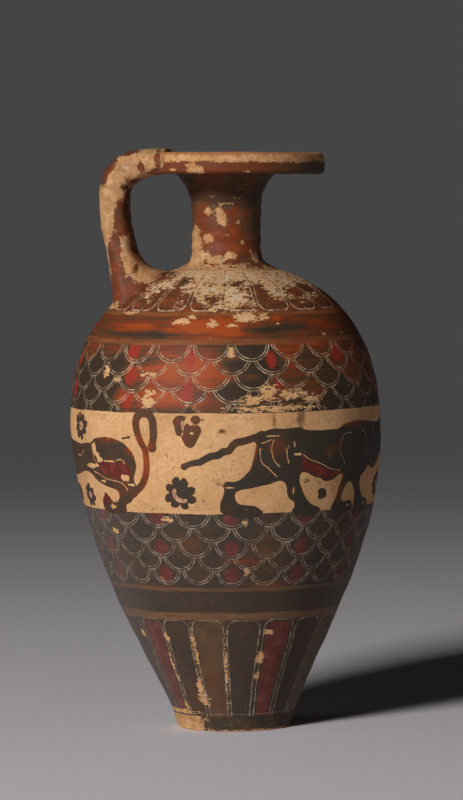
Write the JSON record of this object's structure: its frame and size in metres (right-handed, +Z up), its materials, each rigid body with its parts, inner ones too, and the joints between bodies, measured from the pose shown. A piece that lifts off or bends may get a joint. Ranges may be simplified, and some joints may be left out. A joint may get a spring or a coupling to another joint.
{
  "type": "oil flask",
  "caption": "Footed ovoid aryballos of fired clay with a narrow throat, a plate-like mouth and a strap handle, for pouring oil by the drop.",
  "frame": {"origin": "centre of the foot's resting ring, on the flask's axis", "axes": "+Z up the flask's axis towards the mouth; the handle is on the -X side"},
  "size_m": [0.0646, 0.0646, 0.12],
  "materials": {
    "bare_clay": "matte, flaked slip over fine pale clay",
    "slip_painted_clay": "satin dark and red slip with incised lines"
  },
  "bodies": {
    "root": {"foot": "slip_painted_clay", "body": "slip_painted_clay", "neck": "slip_painted_clay", "mouth_plate": "bare_clay", "handle": "bare_clay"}
  },
  "joints": []
}
